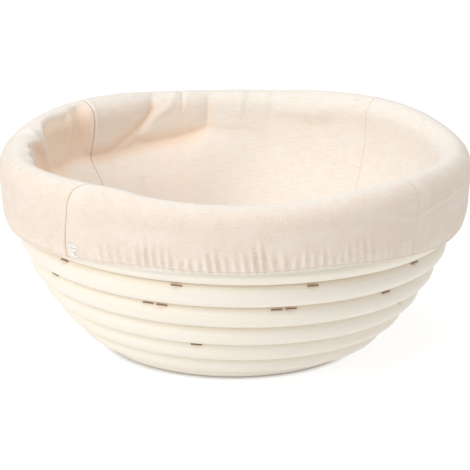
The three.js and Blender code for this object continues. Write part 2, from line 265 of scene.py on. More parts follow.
class Finish:
    """The nodes of a material or a world: node() adds any node, and show() feeds a material's shader."""

    def __init__(self, owner, constants):
        owner.use_nodes = True
        self.owner = owner
        self.tree = owner.node_tree
        self.shader = self.tree.nodes.get("Principled BSDF") or self.tree.nodes["Background"]
        for socket, value in constants.items():
            self.shader.inputs[socket].default_value = value

    def node(self, kind, sockets, output=0, **settings):
        made = self.tree.nodes.new("ShaderNode" + kind)
        for key, value in settings.items():
            setattr(made, key, value)
        for key, value in sockets.items():
            self.plug(made.inputs[key], value)
        return Wire(self, made.outputs[output])

    def plug(self, socket, value):
        if isinstance(value, Wire):
            self.tree.links.new(value.socket, socket)
        else:
            socket.default_value = value

    def mix(self, share, first, second):
        return self.node("Mix", {0: share, 6: first, 7: second}, output=2, data_type="RGBA")

    def noise(self, vector, stretch, detail=2.0):
        """Noise that is finer along the axes with a larger stretch, in features a metre."""
        scaled = self.node("Mapping", {"Vector": vector, "Scale": stretch})
        return self.node("TexNoise", {"Vector": scaled, "Scale": 1.0, "Detail": detail})

    def own_uv(self):
        return self.node("UVMap", {}, uv_map="UVMap")

    def own_value(self, name):
        """A number that the piece keeps for each of its points."""
        return self.node("Attribute", {}, output="Fac", attribute_name=name)

    def part(self, vector, axis):
        return self.node("SeparateXYZ", {"Vector": vector}, output=axis)

    def show(self, colour, roughness, height, depth):
        """Feeds what varies over the surface to the shader. Depth is how deep the bump's full height is."""
        self.plug(self.shader.inputs["Base Color"], colour)
        self.plug(self.shader.inputs["Roughness"], roughness)
        bump = self.node("Bump", {"Strength": 1.0, "Distance": depth, "Height": height})
        self.plug(self.shader.inputs["Normal"], bump)


def cane_finish():
    """Fibres and streaks along the cane, painted shade where turns meet, and rust beside the staples."""
    finish = Finish(bpy.data.materials.new("peeled_cane"), {"Specular IOR Level": 0.3})
    uv = finish.own_uv()
    fibres = finish.noise(uv, FIBRE_MARKS, 3.0)
    streaks = finish.noise(uv, STREAK_MARKS)
    patches = finish.noise(uv, PATCH_MARKS)
    up_the_wall = (finish.part(uv, "Y") / CANE_RADIUS + math.pi / 2).sine()
    # Painted shade: tan in patches at the top of each turn, under the turn above, and darker on each turn's
    # lower side.
    groove = up_the_wall.rise(0.6, 1.0) * (GROOVE_SHADE_TINT + GROOVE_SHADE_PATCH_TINT * patches)
    underside = (0 - up_the_wall).rise(0.85, 1.0)
    stain = finish.own_value("stain").rise(0.2, 1.0)
    colour = finish.mix(fibres.rise(0.5, 0.8) * FIBRE_TINT, tint(CANE_CREAM), tint(CANE_STREAK))
    colour = finish.mix(streaks.rise(0.5, 0.8) * STREAK_TINT, colour, tint(CANE_STREAK))
    colour = finish.mix(groove, colour, tint(CANE_GROOVE_SHADE))
    colour = finish.mix(underside * UNDERSIDE_SHADE_TINT, colour, tint(CANE_GROOVE_SHADE))
    colour = finish.mix(stain * STAIN_TINT, colour, tint(RUST_STAIN))
    finish.show(colour, 0.5 + 0.2 * fibres, fibres * 0.7 + streaks * 0.3, FIBRE_DEPTH)
    return finish.owner


peeled_cane = cane_finish()
for node, first_turn, last_turn in CANE_LENGTHS:
    cane = make_cane(node, first_turn, last_turn)
    cane.data.materials.append(peeled_cane)
    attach(cane, "basket")
    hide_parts(node)

# The staples
# Flat steel wire bent square, tarnished and rusty. Each crown lies along the groove between two turns of
# cane, and its two legs lean inwards, through the turn that it lies on into the next one down.
STAPLE_CROWN = 0.0046
STAPLE_LEG = 0.017
STAPLE_WIRE_THICKNESS = 0.00036
STAPLE_WIRE_WIDTH = 0.00055
STAPLE_EDGE = 0.00013
STAPLE_LEAN = math.radians(16)
# Hand work: how far a staple is turned either way, in degrees, and sunk or left proud.
STAPLE_TURN = 3.0
STAPLE_SHIFT = 0.00018
STAPLE_SEED = 5
SMOOTH_ANGLE = math.radians(40)
TARNISHED_STEEL = (138, 118, 96)
RUST = (160, 130, 98)
RUST_SPECKS = (900, 900, 900)
RUST_DEPTH = 0.0001


def make_staple():
    """The crown lies along X with Y up the wall and Z out of it, and the legs go down from its ends."""
    bpy.ops.object.select_all(action="DESELECT")
    bpy.ops.mesh.primitive_cube_add(size=1)
    staple = bpy.context.object
    staple.scale = (STAPLE_CROWN, STAPLE_WIRE_THICKNESS, STAPLE_WIRE_WIDTH)
    bpy.ops.object.transform_apply(location=False, rotation=False, scale=True)
    alone(staple, "EDIT")
    leg_inside = STAPLE_CROWN / 2 - STAPLE_WIRE_THICKNESS
    for place in (-leg_inside, leg_inside):
        bpy.ops.mesh.select_all(action="SELECT")
        bpy.ops.mesh.bisect(plane_co=(place, 0, 0), plane_no=(1, 0, 0))
    bpy.ops.mesh.select_mode(type="FACE")
    bpy.ops.mesh.select_all(action="DESELECT")
    bpy.ops.object.mode_set(mode="OBJECT")
    for face in staple.data.polygons:
        face.select = face.normal.y < -0.9 and abs(face.center.x) > leg_inside
    bpy.ops.object.mode_set(mode="EDIT")
    bpy.ops.mesh.extrude_region_move(TRANSFORM_OT_translate={"value": (0, -STAPLE_LEG, 0)})
    bpy.ops.mesh.select_all(action="SELECT")
    bpy.ops.mesh.bevel(offset=STAPLE_EDGE, segments=2, affect="EDGES")
    bpy.ops.mesh.normals_make_consistent(inside=False)
    bpy.ops.object.mode_set(mode="OBJECT")
    bpy.ops.object.shade_smooth_by_angle(angle=SMOOTH_ANGLE)
    return staple


def staple_finish():
    finish = Finish(bpy.data.materials.new("tarnished_staple"), {"Metallic": 0.4})
    place = finish.node("TexCoord", {}, output="Object")
    rust = finish.noise(place, RUST_SPECKS, 3.0)
    colour = finish.mix(rust.rise(0.42, 0.62), tint(TARNISHED_STEEL), tint(RUST))
    finish.show(colour, 0.45 + 0.3 * rust, rust, RUST_DEPTH)
    return finish.owner


tarnished_staple = staple_finish()
staple_pattern = make_staple()
hand = np.random.default_rng(STAPLE_SEED)
for number, (middle, along, up, out) in enumerate(zip(*staple_places()), 1):
    seat = Matrix.Translation(Vector(middle)) @ Matrix(np.stack([along, up, out], -1)).to_4x4()
    askew = Matrix.Rotation(math.radians(hand.uniform(-STAPLE_TURN, STAPLE_TURN)), 4, "Z")
    sunk = Matrix.Translation((0, 0, hand.uniform(-STAPLE_SHIFT, STAPLE_SHIFT)))
    staple = bpy.data.objects.new(f"wire_staple_{number:02d}", staple_pattern.data.copy())
    bpy.context.scene.collection.objects.link(staple)
    staple.data.transform(seat @ sunk @ askew @ Matrix.Rotation(STAPLE_LEAN, 4, "X"))
    staple.data.materials.append(tarnished_staple)
    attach(staple, "basket")
    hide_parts(f"staple_{number:02d}")
bpy.data.objects.remove(staple_pattern)

# The liner's gores
# Four gores of unbleached cotton, sewn edge to edge. Each runs from the middle of the floor up the wall,
# over the rim and down outside as a skirt. At the left and the back the cloth is slack and creased.
CLOTH_THICKNESS = 0.0007
CLOTH_CLEARANCE = 0.0005
ROLL_RADIUS = CANE_RADIUS + CLOTH_CLEARANCE + CLOTH_THICKNESS
ROLL_TOP = 0.0873
ROLL_HEIGHT = ROLL_TOP - ROLL_RADIUS
RIM_RADIUS = float(bowl_curve(np.array([RIM_ARC]))[0][0])
GORE_NAMES = ["back", "left", "front", "right"]
GORE_TIP = 0.0002
GORE_COLUMNS = 232
FLOOR_ROWS = 60
RIM_ROWS = 128
FINE_ROWS_DEPTH = 0.045
WALL_STEPS = 160
ROLL_STEPS = 40
SKIRT_STEPS = 60

# The skirt's lower edge by bearing, in mm above the table, and how far its elastic draws it in.
HEM_HEIGHTS = [
    (47, 57.5), (180, 57.5), (200, 56.9), (215, 57.7), (228, 58), (240, 59.7), (250, 60.5), (262, 59.9),
    (276, 59.7), (290, 60.5), (300, 59.7), (313, 58), (330, 56), (350, 56.9), (407, 57.5),
]
HEM_FOLD_DROP = 0.0014
HEM_TUCK = 0.0019
HEM_TUCK_CURVE = 2.4
LOWEST_HEM = 0.0555
SKIRT_DROP = ROLL_HEIGHT - LOWEST_HEM

# The seams, from the back right one round by the left: how plain each is to see, and their groove, which is
# also painted with shade.
SEAM_BEARING = 47
SEAM_PLAINNESS = [0.08, 1.0, 0.65, 0.08]
SEAM_DEPTH = 0.0004
SEAM_WIDTH = 0.0010
SEAM_LEAST_RADIUS = 0.004
# Over each seam the rim's roll swells, in mm.
SEAM_SWELL = 3.0
SWELL_REACH = 9
SWELL_SHARPNESS = 1.2
# How far the two left seams stray from their bearing, in degrees, at depths in mm below the rim's top.
BACK_SEAM_STRAYS = [
    (-12, 0), (0, 1.2), (5, 2.3), (15, 2.5), (20, 3.0), (23.6, 2.6), (29, 5.0), (38.5, 6.6), (50, 6),
    (80, 0),
]
FRONT_SEAM_STRAYS = [(-30, -0.6), (-20, 0), (-11, 1.0), (-4, 1.9), (0, 3.6), (4, 5.0), (40, 0)]
STRAY_SPREAD = 17

# Folds are measured in mm, at bearings and at depths below the rim's top, which are negative outside.
# A pair of numbers is where something begins, and how far on it is complete.
SLACK_BEGINS = (78, 34)
SLACK_ENDS = (190, 28)
# Below the crease the slack cloth leaves the wall, and it meets the floor further down.
CREASE = [
    (84, 20), (98.6, 19), (103, 21.3), (109.6, 23.3), (116, 23.9), (130.5, 25), (139.9, 24), (146.4, 23.4),
    (155, 25.3), (164.7, 23.4), (172, 20), (182, 15), (196, 10), (218, 8),
]
CREASE_ROUNDING = 0.7
CREASE_SOFTNESS = 8.0
CREASE_SHARPENS = (88, 12)
FOLD_SLOPE = 1.15
FOLD_REACH = 12.0
FLOOR_MEETING = (40, 55)
# Above it the cloth lies against the wall along two valleys, and bulges off it beside them.
LONG_VALLEY = [
    (172, 20), (164.7, 23.4), (155, 25.3), (146.4, 23.4), (139.9, 24), (130.5, 25), (127, 22.6),
    (122, 18.6), (118, 13), (115.8, 9), (115, 5), (113.6, 0),
]
PANEL_VALLEY = [(122, 22.5), (116, 23.9), (109.6, 23.3), (103, 21.3), (98.6, 18.6), (98.1, 6.5)]
BULGES = [(80, 0), (90, 0.9), (97, 1.6), (99, 2.8), (112, 2.9), (116, 4), (137.4, 4.2), (141.4, 0)]
BULGE_TURN = 5.0
BULGE_BEGINS = (-2, 9)
ABOVE_CREASE = (-2, 3)
# At the left the cloth folds in from the rim as a lip, over pockets that reach down to the long valley.
LIP_LIFTS = [
    (137.6, 0), (140.4, 1.9), (149, 2.0), (153, 2.2), (157, 2.6), (161, 2.9), (166, 3.2), (176, 3.2),
    (180, 2.8), (188, 1.8), (200, 0),
]
LIP_DEPTHS = [
    (139, 3.2), (141.5, 3.2), (149, 4.0), (153, 3.6), (157, 3.2), (161, 3.8), (164, 5.6), (166, 7),
    (168, 8), (170.5, 8.2), (176, 6.6), (180, 5), (188, 6), (200, 8),
]
LIP_ROOT = -1
LIP_TURN = 1.6
# The lip's point and the pleats: height and width, the share of both that is left at the end, and a path.
LIP_POINT = (3.6, 3.8, 0.35, [(169.5, 4), (167.6, 7), (166, 10), (165, 13.5), (164.2, 17), (162.8, 21.5)])
PLEATS = [
    (1.1, 2.6, 0.6, [(145.4, 6), (146, 9), (146.9, 13), (148.1, 17), (149.5, 21.5)]),
    (0.6, 4.0, 1.0, [(159, 17), (153.5, 20)]),
    (0.5, 0.7, 1.0, [(135.9, 2), (135.9, 23)]),
    (1.3, 2.2, 0.5, [(178, 7), (176.5, 17)]),
    (1.1, 1.6, 0.5, [(186, 5), (181, 13)]),
    (1.1, 1.6, 0.5, [(194, 5), (187, 13)]),
    (0.8, 1.7, 1.0, [(108, 4), (110.3, 8), (112, 9.8), (114.7, 11.7), (116.9, 14.7), (118.4, 17.4)]),
    (-1.1, 1.4, 0.15, [(105.4, 3), (106.3, 8), (107.4, 13)]),
    (0.9, 2.8, 1.0, [(76, 11), (66, 11), (60, 8.5)]),
    (-0.9, 2.6, 1.0, [(67, 17), (60.5, 14.5)]),
    (-0.4, 4.0, 1.0, [(67, 21), (63, 20)]),
    (0.8, 2.2, 0.5, [(88, 4), (88.5, 14)]),
    (0.7, 2.0, 0.5, [(81, 4), (80.5, 13)]),
    (-0.4, 4.5, 1.0, [(50, 15), (43, 22)]),
    (-0.5, 3.0, 1.0, [(46, 5), (44, 16)]),
    (0.6, 4.5, 1.0, [(232, 0), (239, 0)]),
    (0.9, 1.3, 1.0, [(319.6, -15.4), (323.2, -14.3), (331, -12.5), (344, -13)]),
    (0.5, 1.6, 1.0, [(309, -13), (318, -18)]),
]

# Ripples: soft unevenness all over, calmer on the rim and at the floor's middle. Depths here in metres.
RIPPLE_COUNT = 26
RIPPLE_SEED = 11
RIPPLES_ROUND = (5, 34)
RIPPLE_SLANT = 160
RIPPLE_SIZES = (0.3, 1)
RIPPLE_HEIGHT = 0.0002
RIPPLE_CALM = 0.4
RIPPLES_BEGIN = (0.01, 0.02)
RIPPLES_END = (0.09, 0.03)
RIPPLES_MIDDLE = (0, 0.05)

# Puckers: upright ribs that the elastic draws, most of them at the front left. Waves round the basket
# are a size, how often the wave goes round, and a phase.
PUCKER_SPACING = 0.0039
PUCKER_DEPTH = 0.0016
PUCKER_RIB = 0.6
PUCKER_CREST = 0.25
PUCKER_LEAN = 180
LEAN_WAVES = [(0.5, 11, 0)]
SWAY_WAVES = [(1.2, 7, 0), (0.7, 17, 1), (0.5, 31, 2)]
EVENNESS = 0.85
UNEVEN_WAVES = [(0.15, 41, 0), (0.075, 18, 0.6 + math.pi / 2), (-0.075, 28, 0.6 + math.pi / 2)]
PUCKER_REACH = 0.0115
REACH_WAVES = [(0.0025, 29, 0), (0.003, 13, 2), (0.002, 67, 0)]
LEAST_GATHERED = 0.3
MOST_GATHERED_BEARING = 258
GATHERED_SPREAD = 36
EDGE_FLATNESS = 0.35
EDGE_FLAT_REACH = (0, 0.002)

# Hollows lie this much below the evened-out cloth around them. They, the pockets under the lip and the
# cloth in the shelter of the slack folds get a warm painted shade.
HOLLOW_EVENING = 180
HOLLOW_DEPTH = 0.0016
HOLLOW_SHARE = 0.5
HOLLOWS_END = (26, 10)
POCKET_SHARE = 0.5
POCKETS_BEGIN = (137.2, 1.2)
POCKETS_END = (174, 4)
POCKET_TOP = -1
POCKET_FOOT = (-6, 8)
POINT_COVER = 2
SHELTER_SHARE = 0.42
SHELTER_BEGINS = (84, 24)
SHELTER_ENDS = (192, 30)
SHELTER_TOP = (1, 8)
SHELTER_FOOT = (40, 40)

CLOTH_CREAM = (249, 242, 233)
CLOTH_PALE = (250, 243, 234)
CLOTH_TAN = (229, 208, 188)
CLOTH_SHADED = (251, 209, 171)
SKIRT_TAN = (236, 215, 195)
CLOTH_FLECK = (196, 164, 138)
SEAM_SHADE = (172, 136, 106)
# How strongly each mark shows, at most. Mottling and grain are a pair: everywhere, and more on the skirt.
# The hollow and seam tints are painted shade.
WARP_TINT = 0.4
WEFT_TINT = 0.35
SKIRT_TINT = 0.52
MOTTLE_TINT = (0.1, 0.25)
GRAIN_TINT = (0.1, 0.35)
CLOUD_TINT = 0.4
FLECK_TINT = 0.5
HOLLOW_SHADE_TINT = 0.5
SEAM_SHADE_TINT = 0.4
# Marks across and along the gore, in features a metre, and the threads of its weave.
WARP_SLUBS = (2300, 150, 1)
WEFT_SLUBS = (150, 2300, 1)
CLOUD_MARKS = (70, 70, 1)
MOTTLE_MARKS = (260, 190, 1)
GRAIN_MARKS = (1400, 1100, 1)
FLECK_MARKS = (900, 900, 1)
WEAVE_SPACING = 0.00045
WEAVE_WANDER = 3
WEAVE_DEPTH = 0.00018


def onset(place, start, spread):
    """Nought up to the start, and one from a spread further on, with a smooth rise between."""
    share = np.clip((place - start) / spread, 0, 1)
    return share * share * (3 - 2 * share)


def hump(offset, width):
    return np.exp(-((offset / width) ** 2))


def between(place, pairs):
    """The value at a place, from a list of places and values."""
    return np.interp(place, *zip(*pairs))


def turn_to(bearing, middle):
    """Signed degrees from one bearing to another, by the short way round."""
    return (bearing - middle + 180) % 360 - 180


def waves_round(angle, waves):
    return sum(size * np.sin(count * angle + phase) for size, count, phase in waves)


def from_path(bearing, depth, path):
    """How far each place is from a path over the cloth, in mm, and how far along it, from 0 to 1."""
    degree = math.radians(1) * RIM_RADIUS * 1000
    nearest, along = np.inf, 0
    for step, ((first_bearing, first_depth), (last_bearing, last_depth)) in enumerate(zip(path, path[1:])):
        across, down = turn_to(bearing, first_bearing) * degree, depth - first_depth
        path_across, path_down = (last_bearing - first_bearing) * degree, last_depth - first_depth
        share = (across * path_across + down * path_down) / (path_across**2 + path_down**2)
        share = np.clip(share, 0, 1)
        gap = np.hypot(across - share * path_across, down - share * path_down)
        along = np.where(gap < nearest, (step + share) / (len(path) - 1), along)
        nearest = np.minimum(nearest, gap)
    return nearest, along


def liner_profile():
    """The liner's face without folds, from the middle of the floor to the hem, as radius and height."""
    radius, height, slope = bowl_curve(np.linspace(GORE_TIP, RIM_ARC - ROLL_RADIUS, WALL_STEPS))
    inside = np.stack([radius - ROLL_RADIUS * np.sin(slope), height + ROLL_RADIUS * np.cos(slope)], -1)
    turn = np.linspace(np.pi, 0, ROLL_STEPS)[1:]
    roll = np.stack([RIM_RADIUS + ROLL_RADIUS * np.cos(turn), ROLL_HEIGHT + ROLL_RADIUS * np.sin(turn)], -1)
    drop = np.linspace(0, 1, SKIRT_STEPS)[1:]
    skirt_radius = RIM_RADIUS + ROLL_RADIUS - HEM_TUCK * drop**HEM_TUCK_CURVE
    skirt = np.stack([skirt_radius, ROLL_HEIGHT - SKIRT_DROP * drop], -1)
    line = np.concatenate([inside, roll, skirt])
    length = running_length(line)
    top = length[np.argmax(line[:, 1])]
    fine = top - FINE_ROWS_DEPTH
    floor_rows = np.linspace(0, fine, FLOOR_ROWS, endpoint=False)
    rows = np.concatenate([floor_rows, np.linspace(fine, length[-1], RIM_ROWS)])
    return np.stack([np.interp(rows, length, part) for part in line.T], -1), rows, top


def pleat(bearing, depth, lift, width, left, path):
    """A ridge along a path that tapers to a share of its height and width."""
    gap, along = from_path(bearing, depth, path)
    taper = 1 - (1 - left) * along
    return lift * taper * hump(gap, width * taper)


def slack_fold(bearing, depth):
    """How far the slack cloth below the crease stands off the wall."""
    slack = onset(bearing, *SLACK_BEGINS) * (1 - onset(bearing, *SLACK_ENDS))
    below = depth - between(bearing, CREASE)
    rounding = CREASE_ROUNDING + CREASE_SOFTNESS * (1 - onset(bearing, *CREASE_SHARPENS))
    ramp = FOLD_SLOPE * (below + np.hypot(below, rounding)) / 2
    return slack * FOLD_REACH * (1 - np.exp(-ramp / FOLD_REACH)) * (1 - onset(depth, *FLOOR_MEETING))


def rim_folds(bearing, depth):
    """How far the bulges and the lip between the rim and the crease stand off the wall."""
    valleys = [from_path(bearing, depth, path)[0] for path in (LONG_VALLEY, PANEL_VALLEY)]
    bulge = between(bearing, BULGES) * (1 - np.exp(-np.minimum(*valleys) / BULGE_TURN))
    bulge = bulge * onset(depth, *BULGE_BEGINS)
    edge = between(bearing, LIP_DEPTHS)
    lip = between(bearing, LIP_LIFTS) * np.clip((depth - LIP_ROOT) / (edge - LIP_ROOT), 0, 1)
    lip = lip * (1 - onset(depth, edge - LIP_TURN / 2, LIP_TURN))
    lip = np.maximum(lip, pleat(bearing, depth, *LIP_POINT))
    return (bulge + lip) * (1 - onset(depth - between(bearing, CREASE), *ABOVE_CREASE))


def fold_height(bearing, depth):
    """How far the cloth stands off the wall, with all its folds."""
    swell = (0.5 + 0.5 * np.cos(np.radians(4 * (bearing - SEAM_BEARING)))) ** SWELL_SHARPNESS
    height = slack_fold(bearing, depth) + rim_folds(bearing, depth)
    height = height + SEAM_SWELL * swell * hump(depth, SWELL_REACH)
    return height + sum(pleat(bearing, depth, *sizes) for sizes in PLEATS)


def under_lip(bearing, depth):
    """One in the pockets between the lip and the long valley, and nought elsewhere."""
    beside = onset(bearing, *POCKETS_BEGIN) * (1 - onset(bearing, *POCKETS_END))
    over = onset(depth, between(bearing, LIP_DEPTHS) + POCKET_TOP, LIP_TURN)
    over = over * (1 - np.clip(pleat(bearing, depth, *LIP_POINT) / POINT_COVER, 0, 1))
    return beside * over * (1 - onset(depth - between(bearing, CREASE), *POCKET_FOOT))


def sheltered(bearing, depth):
    """One where the cloth lies in the shelter of the slack folds, and nought elsewhere."""
    beside = onset(bearing, *SHELTER_BEGINS) * (1 - onset(bearing, *SHELTER_ENDS))
    return beside * onset(depth, *SHELTER_TOP) * (1 - onset(depth, *SHELTER_FOOT))


def ripples(bearing, depth):
    """Soft unevenness of cloth, the same each time, at depths in metres."""
    draw = np.random.default_rng(RIPPLE_SEED)
    height = np.zeros(np.broadcast(bearing, depth).shape)
    for _ in range(RIPPLE_COUNT):
        waves = draw.integers(*RIPPLES_ROUND)
        phase = depth * draw.uniform(-RIPPLE_SLANT, RIPPLE_SLANT) + draw.uniform(0, 6.3)
        size = draw.uniform(*RIPPLE_SIZES) / waves**0.5
        height = height + size * np.sin(np.radians(bearing) * waves + phase)
    calm = RIPPLE_CALM + (1 - RIPPLE_CALM) * onset(depth, *RIPPLES_BEGIN) * (1 - onset(depth, *RIPPLES_END))
    return RIPPLE_HEIGHT * calm * height


def pucker(bearing, above_hem):
    """How far the gathers at the hem stand out and in, at heights in metres above it."""
    angle = np.radians(bearing)
    count = round(2 * np.pi * (RIM_RADIUS + ROLL_RADIUS) / PUCKER_SPACING)
    lean = PUCKER_LEAN * above_hem * (1 + waves_round(angle, LEAN_WAVES))
    rib = np.sin(count * angle + waves_round(angle, SWAY_WAVES) + lean)
    uneven = EVENNESS + waves_round(angle, UNEVEN_WAVES)
    near = hump(turn_to(bearing, MOST_GATHERED_BEARING), GATHERED_SPREAD)
    gathered = LEAST_GATHERED + (1 - LEAST_GATHERED) * near
    fade = 1 - onset(above_hem, 0, PUCKER_REACH + waves_round(angle, REACH_WAVES))
    fade = fade * (EDGE_FLATNESS + (1 - EDGE_FLATNESS) * onset(above_hem, *EDGE_FLAT_REACH))
    return PUCKER_DEPTH * (PUCKER_RIB * rib + PUCKER_CREST * np.abs(rib)) * uneven * gathered * fade


def smoothed(field):
    """A field of heights, evened out along both of its ways. It is closed round the basket."""
    inner = 0.5 * field[1:-1] + 0.25 * (field[:-2] + field[2:])
    field = np.concatenate([field[:1], inner, field[-1:]])
    ring = field[:, :-1]
    ring = 0.5 * ring + 0.25 * (np.roll(ring, 1, 1) + np.roll(ring, -1, 1))
    return np.concatenate([ring, ring[:, :1]], 1)


def painted_fold_shade(bearing, depth, height):
    """How much painted shade each place gets, from 0 to 1: in a hollow, a pocket or the shelter of the
    folds.
    """
    even = height
    for _ in range(HOLLOW_EVENING):
        even = smoothed(even)
    hollow = np.clip((even - height) / HOLLOW_DEPTH, 0, 1) * (1 - onset(depth, *HOLLOWS_END))
    hollow = HOLLOW_SHARE * hollow + POCKET_SHARE * under_lip(bearing, depth)
    return np.clip(hollow + SHELTER_SHARE * sheltered(bearing, depth), 0, 1)


def liner_surface():
    """The liner's face over rows from the floor to the hem and columns round it: its points, the seams'
    grooves and the hollows, where shade is painted, the columns' bearings, the rows' lengths and the
    profile."""
    profile, rows, top = liner_profile()
    bearing = (SEAM_BEARING + np.linspace(0, 360, 4 * GORE_COLUMNS + 1))[None, :]
    depth = (top - rows)[:, None]
    depth_mm = depth * 1000
    slope = np.gradient(profile, rows, axis=0)
    normal = np.stack([-slope[:, 1], slope[:, 0]], -1)
    normal = normal / np.linalg.norm(normal, axis=1)[:, None]
    height = smoothed(fold_height(bearing, depth_mm)) / 1000
    height = height + ripples(bearing, depth) * onset(profile[:, :1], *RIPPLES_MIDDLE)
    hem_share = (ROLL_HEIGHT - HEM_FOLD_DROP - between(bearing, HEM_HEIGHTS) / 1000) / SKIRT_DROP
    above_hem = (rows[-1] - rows)[:, None] * hem_share
    outside = profile[:, :1] > RIM_RADIUS
    height = height + np.where(outside, pucker(bearing, above_hem), 0)
    from_seam = turn_to(4 * bearing, 4 * SEAM_BEARING) / 4
    from_seam = np.radians(np.abs(from_seam)) * np.maximum(profile[:, :1], SEAM_LEAST_RADIUS)
    nearest_seam = np.round((bearing - SEAM_BEARING) / 90).astype(int) % 4
    groove = np.clip(1 - from_seam / SEAM_WIDTH, 0, 1) ** 2 * np.array(SEAM_PLAINNESS)[nearest_seam]
    height = height - SEAM_DEPTH * groove
    stray = 0
    for seam, strays in ((1, BACK_SEAM_STRAYS), (2, FRONT_SEAM_STRAYS)):
        near = hump(turn_to(bearing, SEAM_BEARING + 90 * seam), STRAY_SPREAD)
        stray = stray + near * between(depth_mm, strays)
    radius = profile[:, :1] + normal[:, :1] * height
    level = profile[:, 1:] + normal[:, 1:] * height
    hanging = outside & (level < ROLL_HEIGHT)
    level = np.where(hanging, ROLL_HEIGHT - (ROLL_HEIGHT - level) * hem_share, level)
    points = outwards(bearing + stray) * radius[..., None] + UP * level[..., None]
    return points, groove, painted_fold_shade(bearing, depth_mm, height), bearing, rows, profile


liner_points, seam_groove, fold_shade_mask, liner_bearing, liner_rows, liner_line = liner_surface()


def cloth_finish():
    """Plain weave: fine uneven threads, a mottled cream colour, flecks of seed husk, and painted shade in
    folds.
    """
    constants = {"Specular IOR Level": 0.15, "Sheen Weight": 0.15, "Sheen Roughness": 0.6}
    finish = Finish(bpy.data.materials.new("unbleached_cotton"), constants)
    uv = finish.own_uv()
    skirt = finish.own_value("skirt")
    warp_slub = finish.noise(uv, WARP_SLUBS)
    weft_slub = finish.noise(uv, WEFT_SLUBS)
    clouds = finish.noise(uv, CLOUD_MARKS, 3.0)
    grain = finish.noise(uv, GRAIN_MARKS)
    mottle = finish.noise(uv, MOTTLE_MARKS, 3.0)
    mottled = mottle.rise(0.45, 0.7) * (MOTTLE_TINT[0] + MOTTLE_TINT[1] * skirt)
    grainy = grain.rise(0.45, 0.66) * (GRAIN_TINT[0] + GRAIN_TINT[1] * skirt)
    flecks = finish.noise(uv, FLECK_MARKS).rise(0.72, 0.78)
    hollow = finish.own_value("hollow").rise(0.0, 1.1)
    seam = finish.own_value("seam").rise(0.3, 1.0)
    colour = finish.mix(warp_slub.rise(0.4, 0.75) * WARP_TINT, tint(CLOTH_CREAM), tint(CLOTH_PALE))
    colour = finish.mix(weft_slub.rise(0.45, 0.75) * WEFT_TINT, colour, tint(CLOTH_TAN))
    colour = finish.mix(skirt * SKIRT_TINT, colour, tint(SKIRT_TAN))
    colour = finish.mix(mottled, colour, tint(SKIRT_TAN))
    colour = finish.mix(grainy, colour, tint(CLOTH_TAN))
    colour = finish.mix(clouds.rise(0.4, 0.8) * CLOUD_TINT, colour, tint(CLOTH_PALE))
    colour = finish.mix(flecks * FLECK_TINT, colour, tint(CLOTH_FLECK))
    # Painted shade: warm in the hollows, the pockets and the shelter of the folds.
    colour = finish.mix(hollow * HOLLOW_SHADE_TINT, colour, tint(CLOTH_SHADED))
    # Painted shade: brown along the seams' grooves.
    colour = finish.mix(seam * SEAM_SHADE_TINT, colour, tint(SEAM_SHADE))
    warp = (finish.part(uv, "X") * (math.pi / WEAVE_SPACING) + WEAVE_WANDER * warp_slub).sine()
    weft = (finish.part(uv, "Y") * (math.pi / WEAVE_SPACING) + WEAVE_WANDER * weft_slub).sine()
    height = 0.25 * warp * weft + 0.4 * warp_slub + 0.4 * weft_slub + 0.8 * grain
    finish.show(colour, 0.88 + 0.1 * grain, height, WEAVE_DEPTH)
    return finish.owner


unbleached_cotton = cloth_finish()


def cloth_piece(name, points, uv, seam, hollow):
    """A sheet of cloth of its real thickness, behind the face that the points give."""
    piece = grid_piece(name, points, uv)
    from_axis = np.hypot(points[..., 0], points[..., 1])
    # The hollow values say where the finish paints shade in the folds.
    point_values(piece, "seam", seam)
    point_values(piece, "hollow", hollow)
    point_values(piece, "skirt", onset(from_axis, RIM_RADIUS, ROLL_RADIUS))
    alone(piece)
    bpy.ops.object.modifier_add(type="SOLIDIFY")
    piece.modifiers[-1].thickness = CLOTH_THICKNESS
    piece.modifiers[-1].offset = -1
    bpy.ops.object.modifier_apply(modifier=piece.modifiers[-1].name)
    piece.data.materials.append(unbleached_cotton)
    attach(piece, "liner")
    return piece


def gore_columns(index):
    """A gore's columns of the liner's face, from its left seam to its right one, seen from inside."""
    return slice((index + 1) * GORE_COLUMNS, index * GORE_COLUMNS - 1 if index else None, -1)


def across_gore(index, radius):
    """How far each column is from the gore's middle, along the cloth."""
    return np.radians(liner_bearing[0, gore_columns(index)] - SEAM_BEARING - 90 * index - 45) * radius


for index, side in enumerate(GORE_NAMES):
    columns = gore_columns(index)
    uv = np.stack(np.broadcast_arrays(across_gore(index, liner_line[:, :1]), liner_rows[:, None]), -1)
    face, seam, hollow = (field[:, columns] for field in (liner_points, seam_groove, fold_shade_mask))
    gore = cloth_piece("cotton_gore_" + side, face, uv, seam, hollow)
    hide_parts("liner_gore_" + side)

# The hem casings
# The lower edge of each gore, folded under and turned up inside the skirt, where a row of stitches holds
# it. The fold shows as a soft roll below the skirt's edge, drawn into puckers by the elastic inside.
CASING_RISE = 0.0078
CASING_FOLD = 0.0010
CASING_LAP = 0.0025
CASING_DROP = 0.0004
CASING_GAP = 0.0001
BEHIND_SKIRT = CLOTH_THICKNESS + CASING_GAP
CASING_FOLD_STEPS = 9
CASING_RISE_STEPS = 8
HEM_DIRECTION_ROWS = 7


